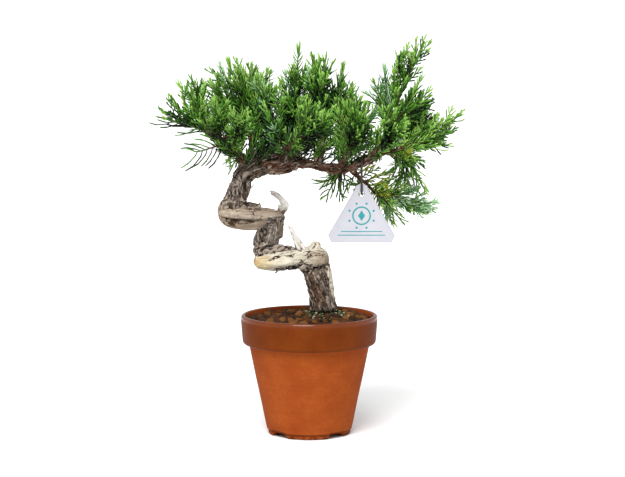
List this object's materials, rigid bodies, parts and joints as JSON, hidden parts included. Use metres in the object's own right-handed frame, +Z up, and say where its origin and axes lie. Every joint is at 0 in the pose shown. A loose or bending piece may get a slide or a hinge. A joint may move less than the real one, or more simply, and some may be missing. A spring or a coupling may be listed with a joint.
{
  "type": "juniper bonsai in a terracotta pot",
  "caption": "Small juniper bonsai with a zigzag trunk of bark and bare deadwood, spreading needle foliage, a terracotta pot with a thick collar and a hanging blank tag.",
  "frame": {"origin": "centre of the pot's underside, on the surface that the pot stands on", "axes": "+Z up, -Y towards the viewer of the front, +X to the right of the front, along the crown's length"},
  "size_m": [0.31, 0.1847, 0.408],
  "materials": {
    "pot": "unglazed terracotta, with a clear brown glaze on the collar",
    "soil": "matt ochre clay grains with dark gaps",
    "bark": "rough grey-brown bark",
    "deadwood": "weathered, pale, cracked deadwood",
    "shoot_bark": "red-brown flaking bark",
    "foliage": "satin green needles and scale leaves",
    "tag": "satin white plastic with teal line ornament",
    "tie": "dull dark plastic string"
  },
  "bodies": {
    "plant": {"pot": "pot", "soil": "soil", "trunk_foot": "bark", "trunk_lower_turn": "deadwood", "trunk_middle": "bark", "trunk_upper_turn": "deadwood", "trunk_rise": "bark", "trunk_top": "bark", "jin_stub": "deadwood", "jin_lower": "deadwood", "jin_upper": "deadwood", "bough_right_inner": "shoot_bark", "bough_right": "shoot_bark", "bough_right_up": "shoot_bark", "bough_right_out": "shoot_bark", "bough_right_low": "shoot_bark", "bough_right_riser": "shoot_bark", "bough_right_middle": "shoot_bark", "bough_right_front": "shoot_bark", "bough_right_back": "shoot_bark", "bough_centre": "shoot_bark", "bough_front": "shoot_bark", "bough_back": "shoot_bark", "bough_left": "shoot_bark", "bough_left_up": "shoot_bark", "mass_left_outer": "foliage", "mass_left_upper": "foliage", "mass_left_front": "foliage", "mass_left_droop": "foliage", "mass_left_under": "foliage", "mass_left_upright": "foliage", "mass_left_peak": "foliage", "mass_left_inner": "foliage", "mass_left_second": "foliage", "mass_front_tuft": "foliage", "mass_centre_spire": "foliage", "mass_centre_low": "foliage", "mass_centre_right_up": "foliage", "mass_centre_right": "foliage", "mass_right_centre": "foliage", "mass_right_low_centre": "foliage", "mass_right_upright": "foliage", "mass_right_spire": "foliage", "mass_right_mid": "foliage", "mass_right_mid_low": "foliage", "mass_right_outer": "foliage", "mass_right_under": "foliage", "mass_right_hang": "foliage", "mass_low_right_outer": "foliage", "mass_low_right_inner": "foliage", "mass_below_bough": "foliage", "mass_back_left": "foliage", "mass_back_centre": "foliage", "mass_back_right": "foliage", "mass_back_far_right": "foliage", "mass_front_left": "foliage", "mass_front_centre": "foliage", "mass_front_right": "foliage"},
    "tag": {"tag_plate": "tag", "tag_tie": "tie"}
  },
  "joints": [
    {"name": "tag_swing", "type": "hinge", "parent": "plant", "child": "tag", "pos_m": [0.0529, -0.008, 0.2775], "axis": [1, 0, 0], "range_deg": [-60, 8]}
  ]
}
